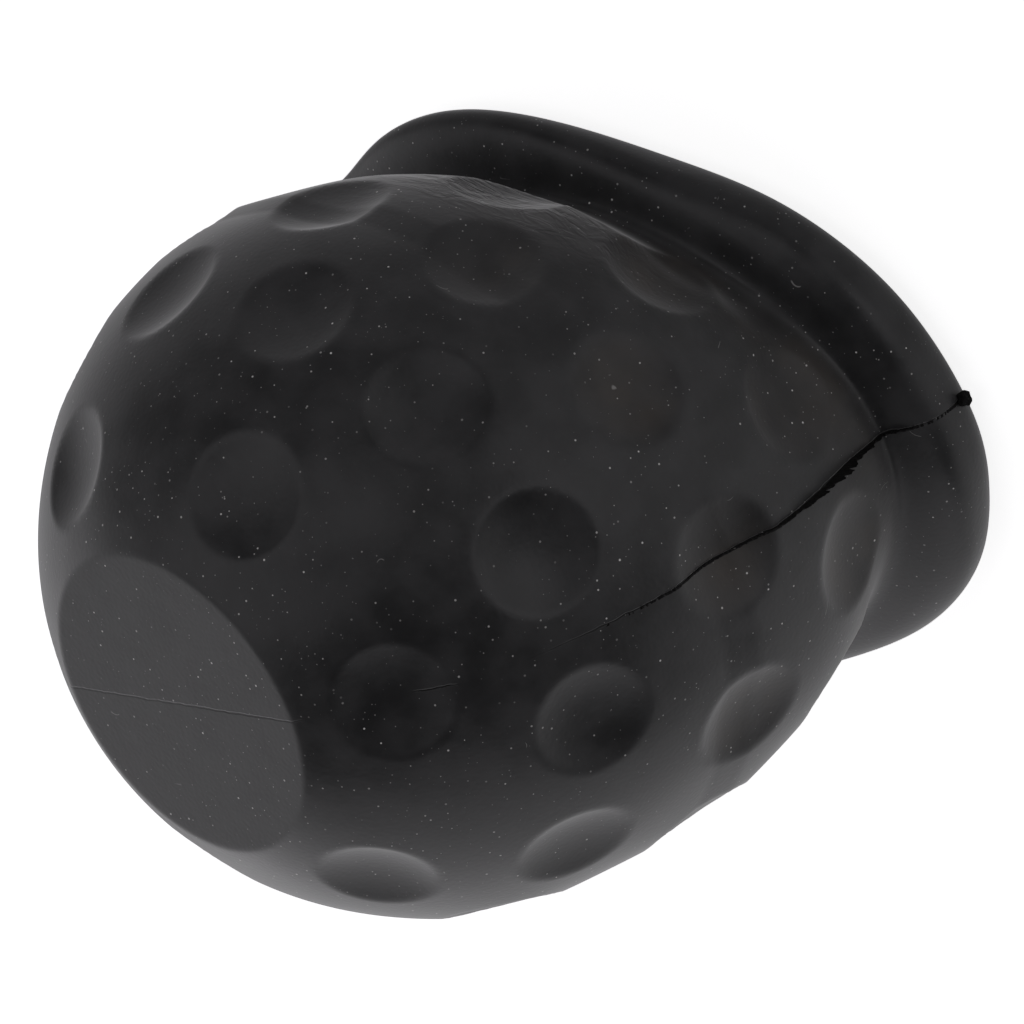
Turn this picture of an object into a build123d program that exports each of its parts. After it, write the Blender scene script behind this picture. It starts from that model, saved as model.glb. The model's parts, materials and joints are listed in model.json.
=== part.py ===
from build123d import *
from math import asin, cos, degrees, radians, sin, sqrt
import os

os.makedirs("parts", exist_ok=True)

# Soft one-piece cover for a coupling ball: a dimpled ball with a flat crown, a neck and a thick collar.
# Millimetres and degrees. It is drawn about the axis of its ball, with depths running down from
# the flat crown, and at the end it is stood on its rim.

# The coupling ball and the rubber round it
SOCKET_D = 50.0
SIDE_WALL = 6.7
CROWN_WALL = 4.0
CROWN_R = 13.85
CROWN_EDGE = 0.8

# Lower half of the ball: a little wider than the upper half, and set lower
BELLY_WIDER = 0.4
BELLY_LOWER = 2.9
HIP_ANGLE = 30.0

# Way in for the coupling ball, and the neck round it
THROAT_R = 19.0
NECK_WALL = 8.0
NECK_LENGTH = 3.3

# Collar: it swells out below the neck and rolls in to a flat rim
COLLAR_OVERHANG = 4.9
COLLAR_UPPER = 3.2
COLLAR_LOWER = 3.8
RIM_ROLL = 4.5
RIM_TURN = 160.0
RIM_W = 4.4
RIM_ROUND_IN = 1.2

# Slack: the ball is a touch oval, and the soft open end has gone oval and leans under it
BALL_OVAL = 0.012
OVAL_OUT = 0.178
OVAL_IN = 0.088
LEAN = 12.1
LEAN_TOWARDS = 111.0
SLACK_FROM = 14.9
SLACK_POWER = 1.45

# Dimples: four rings below the crown, every second ring turned by half a step. A quarter turn
# from the mould seam they sit a few degrees nearer to it than an even spacing would put them.
DIMPLE_D = 10.4
DIMPLE_DEPTH = 1.05
RING_DEPTHS = (4.7, 16.9, 30.65, 43.0)
RING_COUNTS = (6, 12, 12, 12)
RING_TURNS = (0.0, 15.0, 0.0, 15.0)
RING_DRIFT = 3.2

# What follows from the sizes above
BALL_R = SOCKET_D / 2 + SIDE_WALL
BALL_DEPTH = sqrt(BALL_R**2 - CROWN_R**2)
BELLY_R = BALL_R + BELLY_WIDER
BELLY_DEPTH = BALL_DEPTH + BELLY_LOWER
HIP_DEPTH = BELLY_DEPTH + BELLY_R * sin(radians(HIP_ANGLE))
SOCKET_DEPTH = CROWN_WALL + SOCKET_D / 2
NECK_R = THROAT_R + NECK_WALL
NECK_DEPTH = HIP_DEPTH + NECK_LENGTH
COLLAR_R = NECK_R + COLLAR_OVERHANG
COLLAR_DEPTH = NECK_DEPTH + COLLAR_UPPER
HEIGHT = COLLAR_DEPTH + COLLAR_LOWER
MOUTH_R = COLLAR_R - RIM_ROLL * (1 - sin(radians(RIM_TURN))) - RIM_W


def slack(depth):
    """Share of the slack at a depth, from none in the firm crown to all of it at the rim."""
    return (max(0.0, depth - SLACK_FROM) / (HEIGHT - SLACK_FROM)) ** SLACK_POWER


def section_plane(depth):
    """Plane across the axis, tipped by the lean that the rubber has there."""
    bearing = radians(LEAN_TOWARDS)
    hinge = Axis((0, 0, 0), (sin(bearing), -cos(bearing), 0))
    up = Vector(0, 0, 1).rotate(hinge, LEAN * slack(depth))
    along = Vector(1, 0, 0) - up * up.X
    return Plane((0, 0, -depth), x_dir=along, z_dir=up)


def half_axes(depth, radius):
    """Long and short half axes of the slack form."""
    share = slack(depth)
    return radius * (1 + BALL_OVAL + OVAL_OUT * share), radius * (1 - BALL_OVAL - OVAL_IN * share)


def section(depth, radius):
    """Oval slice through the slack form."""
    return section_plane(depth) * Ellipse(*half_axes(depth, radius))


def ball_radius(depth):
    """Radius of the ball at a depth: two half balls and the short band that joins them."""
    if depth < BALL_DEPTH:
        return sqrt(BALL_R**2 - (BALL_DEPTH - depth) ** 2)
    if depth < BELLY_DEPTH:
        return BALL_R + BELLY_WIDER * (depth - BALL_DEPTH) / BELLY_LOWER
    return sqrt(BELLY_R**2 - (depth - BELLY_DEPTH) ** 2)


def collar_slice(turn):
    """Depth and radius on the collar, from the neck at 0 past its widest at 90 to the rim."""
    if turn < 90:
        depth = COLLAR_DEPTH - COLLAR_UPPER * cos(radians(turn))
        return depth, NECK_R + COLLAR_OVERHANG * sin(radians(turn))
    depth = COLLAR_DEPTH + COLLAR_LOWER * cos(radians(turn)) / cos(radians(RIM_TURN))
    return depth, COLLAR_R - RIM_ROLL * (1 - sin(radians(turn)))


# Outer form, drawn past the crown and cut off flat there
rim = section_plane(HEIGHT)
upper = [BALL_DEPTH - BALL_R * cos(radians(polar)) for polar in range(18, 90, 9)]
lower = [BELLY_DEPTH + BELLY_R * sin(radians(HIP_ANGLE * share)) for share in (0, 0.25, 0.5, 0.75, 1)]
stations = [(depth, ball_radius(depth)) for depth in upper + lower]
stations += [collar_slice(turn) for turn in (0, 30, 60, 90, 115, 140, RIM_TURN)]
blank = loft([section(depth, radius) for depth, radius in stations])
skin = blank.faces().sort_by(SortBy.AREA)[-1]
outer = split(blank, Plane.XY, keep=Keep.BOTTOM)
outer = fillet(outer.edges().sort_by(Axis.Z)[-1], CROWN_EDGE)

# Inside: round socket, straight throat and a mouth that flares to the slack rim
below = (Align.CENTER, Align.CENTER, Align.MAX)
socket = Pos(0, 0, -SOCKET_DEPTH) * Sphere(SOCKET_D / 2)
throat = Pos(0, 0, -SOCKET_DEPTH) * Cylinder(THROAT_R, NECK_DEPTH - SOCKET_DEPTH, align=below)
mouth = loft([Pos(0, 0, -NECK_DEPTH) * Ellipse(THROAT_R, THROAT_R), section(HEIGHT, MOUTH_R)])
shell = outer - (socket + throat + mouth)

# Rounded inner edge of the flat rim
foot = shell.faces().filter_by(GeomType.PLANE).sort_by(Axis.Z)[0]
shell = fillet(foot.inner_wires()[0].edges(), RIM_ROUND_IN)

# Dimples, each cut by the cap of a ball that stands square to the skin
crest = BALL_R - sqrt(BALL_R**2 - DIMPLE_D**2 / 4)
cutter_r = (DIMPLE_D**2 / 4 + DIMPLE_DEPTH**2) / (2 * DIMPLE_DEPTH)
cap_end = degrees(asin((DIMPLE_DEPTH + 1.5 * crest) / cutter_r - 1))
on_its_lowest = (Align.CENTER, Align.CENTER, Align.MIN)
cap = Sphere(cutter_r, arc_size1=-90, arc_size2=cap_end, align=on_its_lowest)
cutters = []
for depth, count, turn in zip(RING_DEPTHS, RING_COUNTS, RING_TURNS):
    long_half, short_half = half_axes(depth, ball_radius(depth))
    for i in range(count):
        bearing = radians(turn + 360 * i / count)
        bearing -= radians(RING_DRIFT) * sin(bearing) ** 3
        spot = Vector(long_half * cos(bearing), short_half * sin(bearing), 0)
        spot = skin.closest_points(section_plane(depth).from_local_coords(spot))[0]
        square = skin.normal_at(spot)
        cutters.append(Plane(spot - square * (DIMPLE_DEPTH + crest), z_dir=square) * cap)
cover = shell - cutters

# Stood on its rim, with the origin on the floor under the middle of the cover
cover = rim.location.inverse() * cover
middle = cover.bounding_box().center()
cover = Pos(-middle.X, -middle.Y, 0) * cover
export_step(cover, "parts/cover.step")
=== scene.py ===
"""Soft dimpled cover for a coupling ball, stood on its collar on a pale studio floor."""

import json
import math
import random

import bmesh
import bpy
from mathutils import Matrix, Vector, kdtree, noise


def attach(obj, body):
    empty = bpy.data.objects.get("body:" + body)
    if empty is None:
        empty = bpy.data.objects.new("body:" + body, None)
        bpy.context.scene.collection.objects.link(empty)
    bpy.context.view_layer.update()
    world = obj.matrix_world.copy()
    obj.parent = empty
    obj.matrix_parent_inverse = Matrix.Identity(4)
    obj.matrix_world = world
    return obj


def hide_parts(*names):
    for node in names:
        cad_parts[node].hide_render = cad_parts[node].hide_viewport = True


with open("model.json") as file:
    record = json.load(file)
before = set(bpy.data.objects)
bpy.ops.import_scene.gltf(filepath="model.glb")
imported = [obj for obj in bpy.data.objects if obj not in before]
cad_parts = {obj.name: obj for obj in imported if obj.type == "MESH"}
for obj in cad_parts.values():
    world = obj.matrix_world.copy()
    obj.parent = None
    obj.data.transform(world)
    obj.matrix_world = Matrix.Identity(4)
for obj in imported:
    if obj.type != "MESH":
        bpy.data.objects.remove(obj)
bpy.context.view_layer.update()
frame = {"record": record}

MM = 0.001

# Sizes of the cover in millimetres and degrees, with depths running down from the flat crown
BALL_R = 31.7
CROWN_R = 13.85
CROWN_EDGE = 0.8
BELLY_WIDER = 0.4
BELLY_LOWER = 2.9
HIP_ANGLE = 30.0
HIP_BLEND = 24.0
HIP_PULL = 1.8
NECK_R = 27.0
NECK_LENGTH = 3.3
WAIST_RISE = 1.5
WAIST_PULL_UP = 1.5
WAIST_PULL_DOWN = 1.3
SHOULDER_TURN = 30.0
SHOULDER_PULL = (1.5, 0.6)
COLLAR_OVERHANG = 4.9
COLLAR_UPPER = 3.2
COLLAR_LOWER = 3.8
RIM_ROLL = 4.5
RIM_TURN = 160.0
RIM_W = 4.4
RIM_ROUND_IN = 1.2
SOCKET_R = 25.0
CROWN_WALL = 4.0
THROAT_R = 19.0

# Slack of the ball and of its soft open end, and places where the rubber swells or shrinks a little:
# the bearing, depth and amount of each, and how far it spreads in degrees and in depth
BALL_OVAL = 0.012
OVAL_OUT = 0.178
OVAL_IN = 0.088
LEAN = 12.1
LEAN_TOWARDS = 111.0
SLACK_FROM = 14.9
SLACK_POWER = 1.45
SOFT_SWELLS = ((124, 55, -1.2, 10, 4), (97, 55, 1.3, 16, 4), (63, 55, -1.0, 15, 4), (33, 55, -0.1, 12, 4),
               (3, 55, -1.25, 22, 4), (-23, 55, -0.5, 12, 4), (-67, 55, -0.6, 13, 4), (-40, 42, 1.0, 25, 9),
               (92, 49.8, -1.7, 32, 1.5), (2, 48.8, 1.7, 30, 2.6), (302, 30.65, 0.8, 11, 6),
               (288, 16.9, 0.4, 14, 6), (118, 30.65, 0.5, 11, 6), (134, 16.9, 0.3, 14, 6),
               (72, 43.5, 0.5, 12, 4), (107, 37, -0.5, 10, 5))

# Where the neck's groove runs nearer to the crown: the bearing, depth and amount, and how far it spreads
NECK_RISE = (50, 48.9, 1.2, 26, 3.0)

# Dimples: depth of each ring, how many it holds and how far it is turned, how far they drift towards the
# seam, then the width of each, how far its middle sinks, its soft lip, and the skin searched past its edge
RINGS = ((4.7, 6, 0.0), (16.9, 12, 15.0), (30.65, 12, 0.0), (43.0, 12, 15.0))
RING_DRIFT = 3.2
DIMPLE_D = 10.1
DIMPLE_SINK = 1.2
DIMPLE_LIP = 0.05
DIMPLE_MARGIN = 1.2

# Flash left along the near half of the mould seam: how high it stands at each depth, its thickness,
# how far its foot is sunk in the skin, how it tore, and the lump on the edge of the collar
FLASH_HEIGHTS = ((19.0, -0.1), (25.0, 0.1), (34.0, 0.35), (38.0, 0.7), (44.0, 1.6), (47.5, 1.2), (50.8, 0.5),
                 (51.6, 0.0), (53.0, 0.0), (55.9, 0.2))
FLASH_THICK = 0.2
FLASH_SUNK = 0.2
FLASH_CUTS = 3
FLASH_WAVER = 0.07
TORN_SHARES = (0.5, 1.05)
TORN_STEPS = (2, 6)
TORN_RAGGED = 0.08
NUB_DEPTH = 55.9
NUB_SEARCH = 0.4
NUB_R = 0.6
NUB_OUT = 0.5
NUB_LUMPS = 0.45
NUB_LUMP_SCALE = 2.6

# How strongly the line of the seam shows at each depth on the near half, and all along the far half,
# then how far from its middle it fades from none to full, and how far it wanders
SEAM_MARKS = ((0.0, 0.6), (0.5, 0.0), (5.6, 0.0), (6.0, 1.0), (8.0, 1.0), (8.6, 0.0), (13.0, 0.05),
              (18.0, 0.8), (23.0, 1.0), (50.0, 1.0), (52.0, 0.7), (57.7, 0.7))
FAR_SEAM = 0.4
SEAM_EDGE = (0.12, 0.05)
SEAM_WANDER = 0.3

# Distance from the seam that is given to the whole inside, where no seam shows
FAR_ASIDE = 99.0

# Flow marks in the skin, which also place a pale film, partly dust and partly painted sheen, along the top of
# the ball: bearing and depth of their middle, and how far they spread
FLOW_MARKS_AND_SHEEN = (74.0, 41.5, 21.0, 5.0)

# Mesh: steps round the axis, spacing of its rows, and how near two points are the same or lie on the seam
TURN_STEPS = 400
ROW = 0.48
EDGE_ROW = ROW / 4
COLLAR_ROW = ROW * 0.8
WAIST_ROW = ROW * 0.6
LAND_ROW = ROW * 1.5
INSIDE_ROW = 1.6
SAME_SPOT = 1e-5
SAME_AT_RIM = 1e-3
ON_SEAM = 1e-4

BALL_DEPTH = math.sqrt(BALL_R**2 - CROWN_R**2)
BELLY_R = BALL_R + BELLY_WIDER
BELLY_DEPTH = BALL_DEPTH + BELLY_LOWER
HIP_DEPTH = BELLY_DEPTH + BELLY_R * math.sin(math.radians(HIP_ANGLE))
NECK_DEPTH = HIP_DEPTH + NECK_LENGTH
COLLAR_R = NECK_R + COLLAR_OVERHANG
COLLAR_DEPTH = NECK_DEPTH + COLLAR_UPPER
HEIGHT = COLLAR_DEPTH + COLLAR_LOWER
RIM_R = COLLAR_R - RIM_ROLL * (1 - math.sin(math.radians(RIM_TURN)))
MOUTH_R = RIM_R - RIM_W
LAND_R = MOUTH_R + RIM_ROUND_IN
SOCKET_DEPTH = CROWN_WALL + SOCKET_R


def line(start, end, step):
    """Profile points from start up to, but not including, end."""
    start = Vector(start)
    end = Vector(end)
    count = max(1, round((end - start).length / step))
    return [start.lerp(end, i / count) for i in range(count)]


def arc(centre, radii, first, last, step):
    """Profile points on an oval arc; 0 degrees points up to the crown and 90 outwards."""
    length = math.radians(abs(last - first)) * max(radii)
    count = max(2, round(length / step))
    turns = [math.radians(first + (last - first) * i / count) for i in range(count)]
    return [Vector((centre[0] + radii[0] * math.sin(t), centre[1] - radii[1] * math.cos(t))) for t in turns]


def bend(start, pull, other_pull, end, step):
    """Profile points on a smooth curve that leaves start and reaches end along its two pulls."""
    points = [Vector(p) for p in (start, pull, other_pull, end)]
    count = max(3, round((points[3] - points[0]).length / step))
    curve = []
    for i in range(count):
        t = i / count
        weights = ((1 - t) ** 3, 3 * t * (1 - t) ** 2, 3 * t * t * (1 - t), t**3)
        curve.append(sum((p * w for p, w in zip(points, weights)), Vector((0, 0))))
    return curve


def outer_profile():
    """Radius and depth from the middle of the crown over the ball, the neck and the collar to the rim."""
    edge_turn = math.degrees(math.asin(CROWN_R / BALL_R) + CROWN_EDGE / BALL_R)
    edge_end = arc((0, BALL_DEPTH), (BALL_R, BALL_R), edge_turn, 90, ROW)[0]
    corner = Vector((CROWN_R, 0))
    flat_end = Vector((CROWN_R - CROWN_EDGE, 0))
    points = line((0, 0), flat_end, 2 * ROW)
    points += bend(flat_end, corner, corner, edge_end, EDGE_ROW)
    points += arc((0, BALL_DEPTH), (BALL_R, BALL_R), edge_turn, 90, ROW)
    points += line((BALL_R, BALL_DEPTH), (BELLY_R, BELLY_DEPTH), ROW)
    points += arc((0, BELLY_DEPTH), (BELLY_R, BELLY_R), 90, 90 + HIP_BLEND, ROW)
    hip_way = Vector((-math.sin(math.radians(HIP_BLEND)), math.cos(math.radians(HIP_BLEND))))
    hip = Vector((hip_way.y * BELLY_R, BELLY_DEPTH - hip_way.x * BELLY_R))
    waist = Vector((NECK_R, NECK_DEPTH - WAIST_RISE))
    down = Vector((0, 1))
    collar_radii = (COLLAR_OVERHANG, COLLAR_UPPER)
    shoulder = arc((NECK_R, COLLAR_DEPTH), collar_radii, SHOULDER_TURN, 90, ROW)[0]
    above_waist = waist - down * WAIST_PULL_UP
    below_waist = waist + down * WAIST_PULL_DOWN
    points += bend(hip, hip + hip_way * HIP_PULL, above_waist, waist, COLLAR_ROW)
    points += bend(waist, below_waist, shoulder - Vector(SHOULDER_PULL), shoulder, WAIST_ROW)
    points += arc((NECK_R, COLLAR_DEPTH), collar_radii, SHOULDER_TURN, 90, COLLAR_ROW)
    rim_fall = -COLLAR_LOWER / math.cos(math.radians(RIM_TURN))
    points += arc((COLLAR_R - RIM_ROLL, COLLAR_DEPTH), (RIM_ROLL, rim_fall), 90, RIM_TURN, COLLAR_ROW)
    points += line((RIM_R, HEIGHT), (LAND_R, HEIGHT), LAND_ROW)
    points.append(Vector((LAND_R, HEIGHT)))
    return points


def inner_profile():
    """Radius and depth from the rim's flat land through the mouth and the throat to the top of the socket."""
    throat_turn = 180 - math.degrees(math.asin(THROAT_R / SOCKET_R))
    throat_depth = SOCKET_DEPTH - SOCKET_R * math.cos(math.radians(throat_turn))
    land = Vector((LAND_R, HEIGHT))
    lip = Vector((MOUTH_R, HEIGHT))
    flare = (Vector((THROAT_R, NECK_DEPTH)) - lip).normalized()
    lip_end = lip + flare * RIM_ROUND_IN
    points = bend(land, lip, lip, lip_end, ROW)
    points += line(lip_end, (THROAT_R, NECK_DEPTH), INSIDE_ROW / 2)
    points += line((THROAT_R, NECK_DEPTH), (THROAT_R, throat_depth), INSIDE_ROW)
    points += arc((0, SOCKET_DEPTH), (SOCKET_R, SOCKET_R), throat_turn, 0, INSIDE_ROW)
    points.append(Vector((0, CROWN_WALL)))
    return points


def slack(depth):
    """Share of the slack in the outer form, from none in the firm crown to all of it at the rim."""
    return (max(0.0, depth - SLACK_FROM) / (HEIGHT - SLACK_FROM)) ** SLACK_POWER


def mouth_slack(depth):
    """Share of the slack inside: the socket and the throat stay true, and the mouth follows the rim."""
    return max(0.0, depth - NECK_DEPTH) / (HEIGHT - NECK_DEPTH)


def section_axes(share):
    """Sideways, forward and up directions of a slice that leans by its share of the slack."""
    bearing = math.radians(LEAN_TOWARDS)
    hinge = Vector((math.sin(bearing), -math.cos(bearing), 0))
    up = Matrix.Rotation(math.radians(LEAN * share), 3, hinge) @ Vector((0, 0, 1))
    along = (Vector((1, 0, 0)) - up * up.x).normalized()
    return along, up.cross(along), up


def slackened(side, front, depth, share, ball_share=1.0):
    """Place of a point of the round form once the slack has moved it, about the axis of the ball."""
    along, across, _ = section_axes(share)
    stretched = along * (side * (1 + BALL_OVAL * ball_share + OVAL_OUT * share))
    stretched += across * (front * (1 - BALL_OVAL * ball_share - OVAL_IN * share))
    return Vector((0, 0, -depth)) + stretched


def nearness(bearing, depth, middle, level, spread, reach):
    """From 1 at a place on the skin, given by its bearing and depth, down to 0 away from it."""
    aside = ((math.degrees(bearing) - middle + 180) % 360 - 180) / spread
    above = (depth - level) / reach
    return math.exp(-aside * aside - above * above)


def swell(bearing, depth):
    """How much the rubber stands out there, as a share of its radius."""
    out = 0.0
    for middle, level, amount, spread, reach in SOFT_SWELLS:
        out += amount * nearness(bearing, depth, middle, level, spread, reach)
    return out / BALL_R


def neck_rise(bearing, depth):
    """How far the neck's groove has moved towards the crown there."""
    middle, level, amount, spread, reach = NECK_RISE
    return amount * nearness(bearing, depth, middle, level, spread, reach)


def spun(profile, share_of, inside=False):
    """Closed skin of a profile, spun about the axis of the ball; the inside is true but for its slack."""
    bm = bmesh.new()
    fall = bm.verts.layers.float.new("fall")
    beside = bm.verts.layers.float.new("beside_seam")
    flow = bm.verts.layers.float.new("flow")
    verts = [bm.verts.new((p.x, 0, -p.y)) for p in profile]
    edges = [bm.edges.new(pair) for pair in zip(verts, verts[1:])]
    bmesh.ops.spin(bm, geom=verts + edges, cent=(0, 0, 0), axis=(0, 0, 1), angle=2 * math.pi,
                   steps=TURN_STEPS, use_merge=True)
    bmesh.ops.remove_doubles(bm, verts=bm.verts, dist=SAME_SPOT)
    for v in bm.verts:
        depth = -v.co.z
        bearing = math.atan2(v.co.y, v.co.x)
        share = share_of(depth)
        ball_share = share if inside else 1.0
        v[fall] = depth
        v[beside] = math.copysign(FAR_ASIDE, v.co.y) if inside else v.co.y
        # the flow layer holds the place of the flow marks and of the painted sheen laid over them
        v[flow] = 0.0 if inside else nearness(bearing, depth, *FLOW_MARKS_AND_SHEEN)
        wider = 1 + swell(bearing, depth) * ball_share
        raised = depth - neck_rise(bearing, depth) * ball_share
        v.co = slackened(v.co.x * wider, v.co.y * wider, raised, share, ball_share)
    return bm


def ball_radius(depth):
    """Radius of the ball at a depth."""
    if depth < BALL_DEPTH:
        return math.sqrt(BALL_R**2 - (BALL_DEPTH - depth) ** 2)
    if depth < BELLY_DEPTH:
        return BALL_R + BELLY_WIDER * (depth - BALL_DEPTH) / BELLY_LOWER
    return math.sqrt(BELLY_R**2 - (depth - BELLY_DEPTH) ** 2)


def skin_spot(depth, bearing):
    """Point on the ball's skin and the direction that faces out of it there."""
    small = 0.05
    points = []
    for d, b in ((depth, bearing), (depth + small, bearing), (depth, bearing + small / BALL_R)):
        radius = ball_radius(d) * (1 + swell(b, d))
        points.append(slackened(radius * math.cos(b), radius * math.sin(b), d, slack(d)))
    spot, lower, aside = points
    return spot, (lower - spot).cross(aside - spot).normalized()


def press_dimples(bm, hollow):
    """Pushes the skin in at every dimple, with a soft lip, and notes how deep each point went."""
    tree = kdtree.KDTree(len(bm.verts))
    bm.verts.ensure_lookup_table()
    for i, v in enumerate(bm.verts):
        tree.insert(v.co, i)
    tree.balance()
    for depth, count, turn in RINGS:
        for i in range(count):
            bearing = math.radians(turn + 360 * i / count)
            bearing -= math.radians(RING_DRIFT) * math.sin(bearing) ** 3
            spot, out = skin_spot(depth, bearing)
            for co, index, far in tree.find_range(spot, DIMPLE_D / 2 + DIMPLE_MARGIN):
                level = (co - spot).dot(out)
                dish = 1 - (far * far - level * level) / (DIMPLE_D / 2) ** 2
                if dish <= -DIMPLE_LIP:
                    continue
                if dish < DIMPLE_LIP:
                    dish = (dish + DIMPLE_LIP) ** 2 / (4 * DIMPLE_LIP)
                v = bm.verts[index]
                v.co = co - out * (DIMPLE_SINK * dish)
                v[hollow] = dish


def stand_matrix():
    """From the axis of the ball, in millimetres, to the part's own frame, stood on the rim."""
    along, across, up = section_axes(1.0)
    rim = Matrix((along, across, up)).transposed().to_4x4()
    rim.translation = Vector((0, 0, -HEIGHT))
    throat = next(m for m in frame["record"]["mounts"] if m["name"] == "throat")
    spot = Vector(throat["pos_m"])
    down = Vector(throat["axis"])
    rim_middle = spot - down * (spot.z / down.z)
    return Matrix.Translation(rim_middle) @ Matrix.Scale(MM, 4) @ rim.inverted()


STAND = stand_matrix()


def seam_skin(skin, first, last):
    """Points down the near half of the seam between two depths, each with its way out and its depth."""
    fall = skin.verts.layers.float["fall"]
    beside = skin.verts.layers.float["beside_seam"]
    skin.normal_update()
    spots = [v for v in skin.verts if abs(v[beside]) < ON_SEAM and v.co.x > 0 and first < v[fall] < last]
    spots.sort(key=lambda v: v[fall])
    return [(v.co.copy(), v.normal.copy() if v.normal.x > 0 else -v.normal, v[fall]) for v in spots]


def full_height(depth):
    """Height of the flash at a depth, before it tore."""
    for (above, high), (below, low) in zip(FLASH_HEIGHTS, FLASH_HEIGHTS[1:]):
        if depth <= below:
            return high + (low - high) * (depth - above) / (below - above)
    return FLASH_HEIGHTS[-1][1]


def torn_heights(depths, chance):
    """Heights along the flash, torn off in short steps."""
    heights = []
    left = 0
    for depth in depths:
        if left == 0:
            level = chance.uniform(*TORN_SHARES)
            left = chance.randint(*TORN_STEPS)
        left -= 1
        heights.append(full_height(depth) * level + chance.uniform(-TORN_RAGGED, TORN_RAGGED))
    return heights


def make_flash(skin):
    """Torn fin of rubber along the seam, and the lump where the seam ends on the collar."""
    chance = random.Random(5)
    bm = bmesh.new()
    step = bm.verts.layers.int.new("step")
    spots = seam_skin(skin, FLASH_HEIGHTS[0][0], FLASH_HEIGHTS[-1][0])
    places = []
    depths = []
    for (spot, out, depth), (next_spot, next_out, next_depth) in zip(spots, spots[1:]):
        for i in range(FLASH_CUTS):
            t = i / FLASH_CUTS
            places.append((spot.lerp(next_spot, t), out.lerp(next_out, t).normalized()))
            depths.append(depth + (next_depth - depth) * t)
    heights = torn_heights(depths, chance)
    row = []
    for i, (spot, out) in enumerate(places):
        row.append(bm.verts.new(spot - out * FLASH_SUNK))
        row[-1][step] = i
    edges = [bm.edges.new(pair) for pair in zip(row, row[1:])]
    for share in (0.5, 1.0):
        raised = bmesh.ops.extrude_edge_only(bm, edges=edges)["geom"]
        row = [g for g in raised if isinstance(g, bmesh.types.BMVert)]
        edges = [g for g in raised if isinstance(g, bmesh.types.BMEdge)]
        edges = [e for e in edges if all(v in row for v in e.verts)]
        for v in row:
            spot, out = places[v[step]]
            v.co = spot + out * (heights[v[step]] * share)
            v.co.y += chance.uniform(-FLASH_WAVER, FLASH_WAVER) * share
    bmesh.ops.solidify(bm, geom=bm.faces[:], thickness=FLASH_THICK)
    bm.verts.layers.int.remove(step)
    spot, out, _ = seam_skin(skin, NUB_DEPTH - NUB_SEARCH, NUB_DEPTH + NUB_SEARCH)[0]
    lump = bmesh.ops.create_icosphere(bm, subdivisions=3, radius=NUB_R)["verts"]
    for v in lump:
        v.co = spot + out * NUB_OUT + v.co * (1 + NUB_LUMPS * noise.noise(v.co * NUB_LUMP_SCALE))
    for face in bm.faces:
        face.material_index = 1
    return bm


def join(bm, other):
    """Adds the faces of another mesh in the making, which is then done with."""
    mesh = bpy.data.meshes.new("joined")
    other.to_mesh(mesh)
    other.free()
    bm.from_mesh(mesh)
    bpy.data.meshes.remove(mesh)


def make_cover(skin_rubber, torn_rubber):
    """The whole moulding: dimpled ball, crown, neck, collar, mouth and socket in one skin, with its flash."""
    bm = spun(outer_profile(), slack)
    hollow = bm.verts.layers.float.new("hollow")
    press_dimples(bm, hollow)
    flash = make_flash(bm)
    join(bm, spun(inner_profile(), mouth_slack, inside=True))
    bmesh.ops.remove_doubles(bm, verts=bm.verts, dist=SAME_AT_RIM)
    join(bm, flash)
    bmesh.ops.recalc_face_normals(bm, faces=bm.faces)
    bmesh.ops.transform(bm, matrix=STAND, verts=bm.verts)
    mesh = bpy.data.meshes.new("dimpled_cover")
    bm.to_mesh(mesh)
    bm.free()
    mesh.polygons.foreach_set("use_smooth", [p.material_index == 0 for p in mesh.polygons])
    mesh.materials.append(skin_rubber)
    mesh.materials.append(torn_rubber)
    cover = bpy.data.objects.new("dimpled_cover", mesh)
    bpy.context.scene.collection.objects.link(cover)
    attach(cover, "root")
    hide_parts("cover")


def add(tree, kind, inputs=None, **settings):
    """A new shader node; its inputs take plain values or the outputs of other nodes."""
    made = tree.nodes.new(kind)
    for name, value in settings.items():
        setattr(made, name, value)
    for name, value in (inputs or {}).items():
        if isinstance(value, bpy.types.NodeSocket):
            tree.links.new(value, made.inputs[name])
        else:
            made.inputs[name].default_value = value
    return made


def maths(tree, operation, first, second=0.0):
    """One step of arithmetic."""
    return add(tree, "ShaderNodeMath", {0: first, 1: second}, operation=operation).outputs[0]


def ramped(tree, value, start, end, low=0.0, high=1.0):
    """Smooth step from low to high while a value goes from start to end."""
    inputs = {"Value": value, "From Min": start, "From Max": end, "To Min": low, "To Max": high}
    return add(tree, "ShaderNodeMapRange", inputs, interpolation_type="SMOOTHSTEP").outputs[0]


def clouds(tree, where, scale, detail=2.0):
    """Soft random values from 0 to 1."""
    return add(tree, "ShaderNodeTexNoise", {"Vector": where, "Scale": scale, "Detail": detail}).outputs[0]


def blend(tree, share, under, over):
    """One colour laid over another by its share."""
    made = add(tree, "ShaderNodeMix", {"Factor": share}, data_type="RGBA")
    for socket, colour in ((made.inputs[6], under), (made.inputs[7], over)):
        if isinstance(colour, bpy.types.NodeSocket):
            tree.links.new(colour, socket)
        else:
            socket.default_value = (*colour, 1)
    return made.outputs[2]


def stored(tree, name):
    """A value that the mesh holds at each of its points."""
    return add(tree, "ShaderNodeAttribute", attribute_name=name).outputs["Fac"]


# Dust specks, coarse and fine: how densely they lie and their smallest and largest size in their cells
COARSE_SPECKS = (1300.0, 0.02, 0.14)
FINE_SPECKS = (1900.0, 0.02, 0.12)
FINE_STRENGTH = 0.5
LINT_STRENGTH = 0.45


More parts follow.
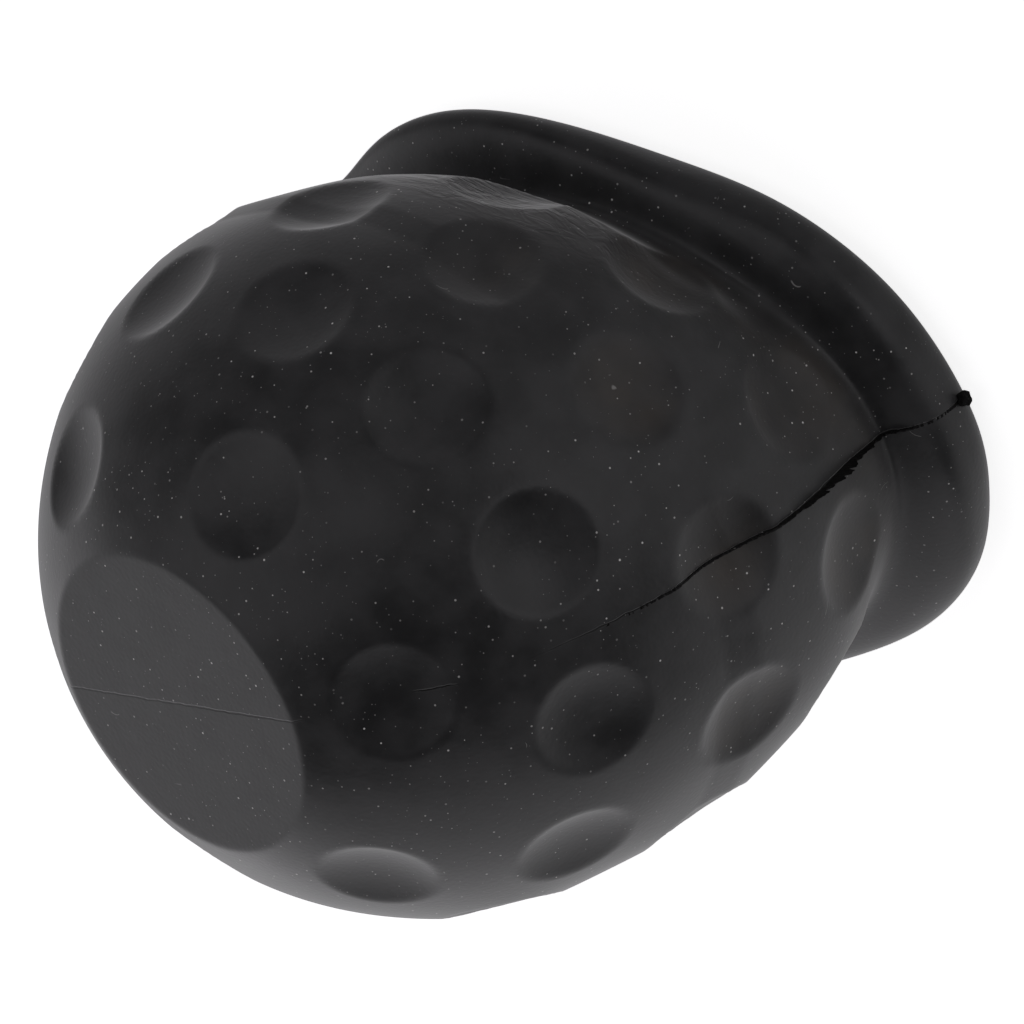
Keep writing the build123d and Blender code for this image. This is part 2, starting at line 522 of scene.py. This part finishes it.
def speck_layer(tree, where, scale, smallest, largest):
    """Round specks, one near each middle of a scattered cell, of many sizes and some fainter than others."""
    cells = add(tree, "ShaderNodeTexVoronoi", {"Vector": where, "Scale": scale})
    chance = add(tree, "ShaderNodeSeparateColor", {"Color": cells.outputs["Color"]})
    size = ramped(tree, chance.outputs["Red"], 0.0, 1.0, smallest, largest)
    inner = maths(tree, "MULTIPLY", size, 0.7)
    spot = ramped(tree, cells.outputs["Distance"], size, inner)
    return maths(tree, "MULTIPLY", spot, ramped(tree, chance.outputs["Green"], 0.0, 1.0, 0.2, 1.0))


def make_dust_specks():
    """Dust on the rubber: coarse and fine pale specks and short threads of lint."""
    group = bpy.data.node_groups.new("dust specks", "ShaderNodeTree")
    group.interface.new_socket("Amount", in_out="INPUT", socket_type="NodeSocketFloat")
    group.interface.new_socket("Specks", in_out="OUTPUT", socket_type="NodeSocketFloat")
    given = add(group, "NodeGroupInput")
    where = add(group, "ShaderNodeTexCoord").outputs["Object"]
    coarse = speck_layer(group, where, *COARSE_SPECKS)
    fine = maths(group, "MULTIPLY", speck_layer(group, where, *FINE_SPECKS), FINE_STRENGTH)
    drift = ramped(group, clouds(group, where, 70.0), 0.36, 0.58, 0.5, 1.0)
    curl = maths(group, "ABSOLUTE", maths(group, "SUBTRACT", clouds(group, where, 260.0, 1.0), 0.5))
    thread = ramped(group, curl, 0.005, 0.001)
    tufts = add(group, "ShaderNodeTexVoronoi", {"Vector": where, "Scale": 380.0})
    tuft = ramped(group, tufts.outputs["Distance"], 0.26, 0.20)
    kept = add(group, "ShaderNodeSeparateColor", {"Color": tufts.outputs["Color"]}).outputs["Red"]
    lint = maths(group, "MULTIPLY", thread, tuft)
    lint = maths(group, "MULTIPLY", lint, ramped(group, kept, 0.86, 0.9, 0.0, LINT_STRENGTH))
    specks = maths(group, "MAXIMUM", maths(group, "MAXIMUM", coarse, fine), lint)
    specks = maths(group, "MULTIPLY", maths(group, "MULTIPLY", specks, drift), given.outputs["Amount"])
    add(group, "NodeGroupOutput", {"Specks": specks})
    return group


def seam_line(tree, where, fall):
    """Fine broken line of the mould seam, in step with its marks on the near half."""
    wander = maths(tree, "SUBTRACT", clouds(tree, where, 700.0, 1.0), 0.5)
    wander = maths(tree, "MULTIPLY", wander, SEAM_WANDER)
    aside = maths(tree, "ABSOLUTE", maths(tree, "ADD", stored(tree, "beside_seam"), wander))
    marks = add(tree, "ShaderNodeValToRGB", {"Fac": maths(tree, "DIVIDE", fall, HEIGHT)})
    ramp = marks.color_ramp
    for depth, strength in SEAM_MARKS:
        stop = ramp.elements.new(depth / HEIGHT)
        stop.color = (strength, strength, strength, 1)
    ramp.elements.remove(ramp.elements[0])
    ramp.elements.remove(ramp.elements[-1])
    near = ramped(tree, add(tree, "ShaderNodeSeparateXYZ", {"Vector": where}).outputs["X"], -0.001, 0.001)
    strength = add(tree, "ShaderNodeMix", {"Factor": near, 2: FAR_SEAM}, data_type="FLOAT")
    tree.links.new(marks.outputs["Color"], strength.inputs[3])
    return maths(tree, "MULTIPLY", ramped(tree, aside, *SEAM_EDGE), strength.outputs[0])


# Colours of the rubber and of what lies on it, the relief of its skin in millimetres, and its sheen
DEEP_BLACK = (0.017, 0.0169, 0.0178)
WORN_BLACK = (0.038, 0.0376, 0.039)
BROWN_DUST = (0.085, 0.067, 0.052)
# Pale grey film, partly dust and partly a painted sheen that lightens the top edge of the ball
GREY_FILM_AND_SHEEN = (0.21, 0.198, 0.196)
PALE_DUST = (0.90, 0.88, 0.86)
SEAM_BLACK = (0.002, 0.002, 0.002)
TORN_BLACK = (0.004, 0.004, 0.004)
TORN_GREY = (0.012, 0.011, 0.011)
TORN_DUST = (0.4, 0.38, 0.36)
GRAIN_HEIGHT = 0.010
FLOW_HEIGHT = 0.4
SEAM_DEPTH = 0.05
TORN_HEIGHT = 0.12
SHEEN = 0.9
SHEEN_ROUGHNESS = 0.36

# Where brown dust has settled: how far to one side in metres, below which depths, and the band of the neck
DUSTY_SIDE = (0.006, 0.024)
DUSTY_DEPTHS = (20.0, 32.0)
DUSTY_NECK_START = (41.0, 46.0)
DUSTY_NECK_END = (50.5, 48.5)
DUSTY_NECK_SHARE = 0.7


def rubber_finish(specks):
    """Matte black moulded rubber with dust on it, flow marks under a pale film that is partly dust and partly
    painted sheen, and the line of the mould seam.
    """
    material = bpy.data.materials.new("moulded rubber")
    material.use_nodes = True
    tree = material.node_tree
    shader = tree.nodes["Principled BSDF"]
    where = add(tree, "ShaderNodeTexCoord").outputs["Object"]
    fall = stored(tree, "fall")
    hollow = stored(tree, "hollow")
    patches = clouds(tree, where, 240.0, 4.0)
    grain = clouds(tree, where, 2600.0, 0.0)
    seam = seam_line(tree, where, fall)
    dust = add(tree, "ShaderNodeGroup", node_tree=specks)
    dust.inputs["Amount"].default_value = 1.0
    pale = dust.outputs["Specks"]

    side = add(tree, "ShaderNodeSeparateXYZ", {"Vector": where}).outputs["X"]
    neck = ramped(tree, fall, *DUSTY_NECK_START, 0.0, DUSTY_NECK_SHARE)
    neck = maths(tree, "MULTIPLY", neck, ramped(tree, fall, *DUSTY_NECK_END))
    settled = maths(tree, "MAXIMUM", hollow, neck)
    settled = maths(tree, "MULTIPLY", settled, ramped(tree, side, *DUSTY_SIDE))
    settled = maths(tree, "MULTIPLY", settled, ramped(tree, fall, *DUSTY_DEPTHS))
    uneven = ramped(tree, clouds(tree, where, 170.0, 3.0), 0.35, 0.7, 0.1, 0.5)
    settled = maths(tree, "MULTIPLY", settled, uneven)
    black = blend(tree, ramped(tree, patches, 0.3, 0.7), DEEP_BLACK, WORN_BLACK)
    dusty = blend(tree, settled, black, BROWN_DUST)
    # Pale film over the flow marks, partly dust and partly a painted sheen along the top edge of the ball; it
    # thins inside the dimples, which paints shade in them
    film_and_sheen = maths(tree, "MULTIPLY", stored(tree, "flow"), ramped(tree, patches, 0.2, 0.8, 0.2, 0.5))
    film_and_sheen = maths(tree, "MULTIPLY", film_and_sheen, ramped(tree, hollow, 0.0, 0.25, 1.0, 0.35))
    filmed_and_sheened = blend(tree, film_and_sheen, dusty, GREY_FILM_AND_SHEEN)
    lined = blend(tree, seam, filmed_and_sheened, SEAM_BLACK)
    colour = blend(tree, pale, lined, PALE_DUST)
    tree.links.new(colour, shader.inputs["Base Color"])

    rough = ramped(tree, patches, 0.25, 0.75, 0.40, 0.48)
    rough = maths(tree, "MAXIMUM", rough, maths(tree, "MULTIPLY", maths(tree, "MAXIMUM", pale, seam), 0.9))
    tree.links.new(rough, shader.inputs["Roughness"])

    along = add(tree, "ShaderNodeMapping", {"Vector": where, "Scale": (0.35, 1, 1)}).outputs[0]
    creased = {"Vector": along, "Scale": 750.0, "Detail": 2.0, "Distortion": 1.2}
    creases = add(tree, "ShaderNodeTexNoise", creased).outputs[0]
    height = maths(tree, "MULTIPLY", grain, GRAIN_HEIGHT)
    flow = maths(tree, "MULTIPLY", creases, stored(tree, "flow"))
    height = maths(tree, "ADD", height, maths(tree, "MULTIPLY", flow, FLOW_HEIGHT))
    height = maths(tree, "SUBTRACT", height, maths(tree, "MULTIPLY", seam, SEAM_DEPTH))
    bump = add(tree, "ShaderNodeBump", {"Height": height, "Distance": MM})
    tree.links.new(bump.outputs["Normal"], shader.inputs["Normal"])
    shader.inputs["Sheen Weight"].default_value = SHEEN
    shader.inputs["Sheen Roughness"].default_value = SHEEN_ROUGHNESS
    return material


def torn_finish(specks):
    """Ragged black rubber where the flash tore."""
    material = bpy.data.materials.new("torn rubber")
    material.use_nodes = True
    tree = material.node_tree
    shader = tree.nodes["Principled BSDF"]
    where = add(tree, "ShaderNodeTexCoord").outputs["Object"]
    dust = add(tree, "ShaderNodeGroup", node_tree=specks)
    dust.inputs["Amount"].default_value = 0.4
    shreds = clouds(tree, where, 1800.0, 3.0)
    black = blend(tree, shreds, TORN_BLACK, TORN_GREY)
    tree.links.new(blend(tree, dust.outputs["Specks"], black, TORN_DUST), shader.inputs["Base Color"])
    tree.links.new(ramped(tree, shreds, 0.2, 0.8, 0.7, 0.9), shader.inputs["Roughness"])
    height = maths(tree, "MULTIPLY", shreds, TORN_HEIGHT)
    bump = add(tree, "ShaderNodeBump", {"Height": height, "Distance": MM})
    tree.links.new(bump.outputs["Normal"], shader.inputs["Normal"])
    shader.inputs["Specular IOR Level"].default_value = 0.15
    return material


def make_floor():
    """Pale floor that fills the view, lit up to a clean white where it is looked at."""
    bm = bmesh.new()
    bmesh.ops.create_grid(bm, x_segments=1, y_segments=1, size=FLOOR_HALF)
    mesh = bpy.data.meshes.new("floor")
    bm.to_mesh(mesh)
    bm.free()
    floor = bpy.data.objects.new("floor", mesh)
    material = bpy.data.materials.new("pale floor")
    material.use_nodes = True
    tree = material.node_tree
    shader = tree.nodes["Principled BSDF"]
    shader.inputs["Base Color"].default_value = (FLOOR_GREY, FLOOR_GREY, FLOOR_GREY, 1)
    shader.inputs["Roughness"].default_value = 0.9
    shader.inputs["Specular IOR Level"].default_value = 0.0
    shader.inputs["Emission Color"].default_value = (FLOOR_GLOW, FLOOR_GLOW, FLOOR_GLOW, 1)
    material.cycles.emission_sampling = "NONE"
    where = add(tree, "ShaderNodeTexCoord").outputs["Object"]
    front = direction(FRONT_GLOW_BEARING, 0)
    ahead = add(tree, "ShaderNodeVectorMath", {0: where, 1: front}, operation="DOT_PRODUCT").outputs["Value"]
    seen = add(tree, "ShaderNodeLightPath").outputs["Is Camera Ray"]
    glow = maths(tree, "MAXIMUM", seen, ramped(tree, ahead, 0.0, 0.06, 0.0, FRONT_GLOW))
    tree.links.new(glow, shader.inputs["Emission Strength"])
    mesh.materials.append(material)
    bpy.context.scene.collection.objects.link(floor)


# View of the photograph, about the axis of the ball: where the camera stands and how it is turned
VIEW_BEARING = 26.34
VIEW_ELEVATION = 34.14
VIEW_ROLL = -124.35
VIEW_DISTANCE = 500.0
VIEW_PIXELS_PER_MM = 12.04
IMAGE_SIDE = 1024
SENSOR_WIDTH = 36
BALL_PIXEL = (420.5, 539.4)
BALL_MIDDLE_DEPTH = 28.333


def direction(bearing, elevation):
    """Unit vector towards a bearing and an elevation in degrees."""
    turn = math.radians(bearing)
    tilt = math.radians(elevation)
    return Vector((math.cos(tilt) * math.cos(turn), math.cos(tilt) * math.sin(turn), math.sin(tilt)))


def view_axes():
    """Directions right, up and back of the camera, about the axis of the ball."""
    bearing = math.radians(VIEW_BEARING)
    roll = math.radians(VIEW_ROLL)
    back = direction(VIEW_BEARING, VIEW_ELEVATION)
    right = Vector((-math.sin(bearing), math.cos(bearing), 0))
    up = back.cross(right)
    turned_right = right * math.cos(roll) + up * math.sin(roll)
    turned_up = up * math.cos(roll) - right * math.sin(roll)
    return turned_right, turned_up, back


def make_camera():
    """Camera at the photograph's viewing angle."""
    right, up, back = view_axes()
    middle = Vector((0, 0, -BALL_MIDDLE_DEPTH))
    stand = middle + back * VIEW_DISTANCE
    aside = (IMAGE_SIDE / 2 - BALL_PIXEL[0]) / VIEW_PIXELS_PER_MM
    above = (BALL_PIXEL[1] - IMAGE_SIDE / 2) / VIEW_PIXELS_PER_MM
    aim = middle + right * aside + up * above
    look = (stand - aim).normalized()
    side = up.cross(look).normalized()
    turn = Matrix((side, look.cross(side), look)).transposed().to_4x4()
    turn.translation = stand
    data = bpy.data.cameras.new("camera")
    data.sensor_width = SENSOR_WIDTH
    data.lens = SENSOR_WIDTH * VIEW_DISTANCE * VIEW_PIXELS_PER_MM / IMAGE_SIDE
    data.clip_start = 0.01
    data.clip_end = 50
    camera = bpy.data.objects.new("camera", data)
    place = STAND @ turn
    camera.matrix_world = Matrix.LocRotScale(place.to_translation(), place.to_quaternion(), None)
    bpy.context.scene.collection.objects.link(camera)
    bpy.context.scene.camera = camera


# Soft lights: name, bearing and elevation, width and height in metres at their distance, and brightness,
# then the floor's half width in metres, its grey, its glow and the glow in front, and the ambient light
LIGHT_DISTANCE = 1.0
LIGHT_COLOUR = (0.985, 0.968, 1.0)
LIGHTS = (("wide wall behind on the left", 255, 27, 1.80, 1.00, 0.66),
          ("wall behind", 195, 17, 1.15, 0.61, 0.92),
          ("high box on the right", 117, 57, 0.90, 0.90, 0.68),
          ("box beside the camera", 60, 35, 0.42, 0.42, 1.00),
          ("low strip in front", 15, 8.5, 0.42, 0.30, 1.50))
FLOOR_HALF = 6.0
FLOOR_GREY = 0.85
FLOOR_GLOW = 0.85
FRONT_GLOW = 0.28
FRONT_GLOW_BEARING = 330.0
AMBIENT = 0.02


def make_lights():
    """Soft boxes round the cover, in white surroundings that add little light of their own."""
    for name, bearing, elevation, width, height, brightness in LIGHTS:
        data = bpy.data.lights.new(name, "AREA")
        data.shape = "RECTANGLE"
        data.size = width
        data.size_y = height
        data.color = LIGHT_COLOUR
        data.energy = brightness * math.pi * width * height
        lamp = bpy.data.objects.new(name, data)
        out = direction(bearing, elevation)
        lamp.location = out * LIGHT_DISTANCE
        lamp.rotation_euler = out.to_track_quat("Z", "Y").to_euler()
        lamp.visible_camera = False
        bpy.context.scene.collection.objects.link(lamp)
    world = bpy.data.worlds.new("studio")
    bpy.context.scene.world = world
    world.use_nodes = True
    nodes = world.node_tree.nodes
    links = world.node_tree.links
    seen = nodes.new("ShaderNodeLightPath")
    level = nodes.new("ShaderNodeMapRange")
    level.inputs["To Min"].default_value = AMBIENT
    level.inputs["To Max"].default_value = 1.0
    links.new(seen.outputs["Is Camera Ray"], level.inputs["Value"])
    links.new(level.outputs["Result"], nodes["Background"].inputs["Strength"])
    nodes["Background"].inputs["Color"].default_value = (1, 1, 1, 1)


dust_specks = make_dust_specks()
make_cover(rubber_finish(dust_specks), torn_finish(dust_specks))
make_floor()
make_camera()
make_lights()
bpy.context.scene.view_settings.view_transform = "Standard"
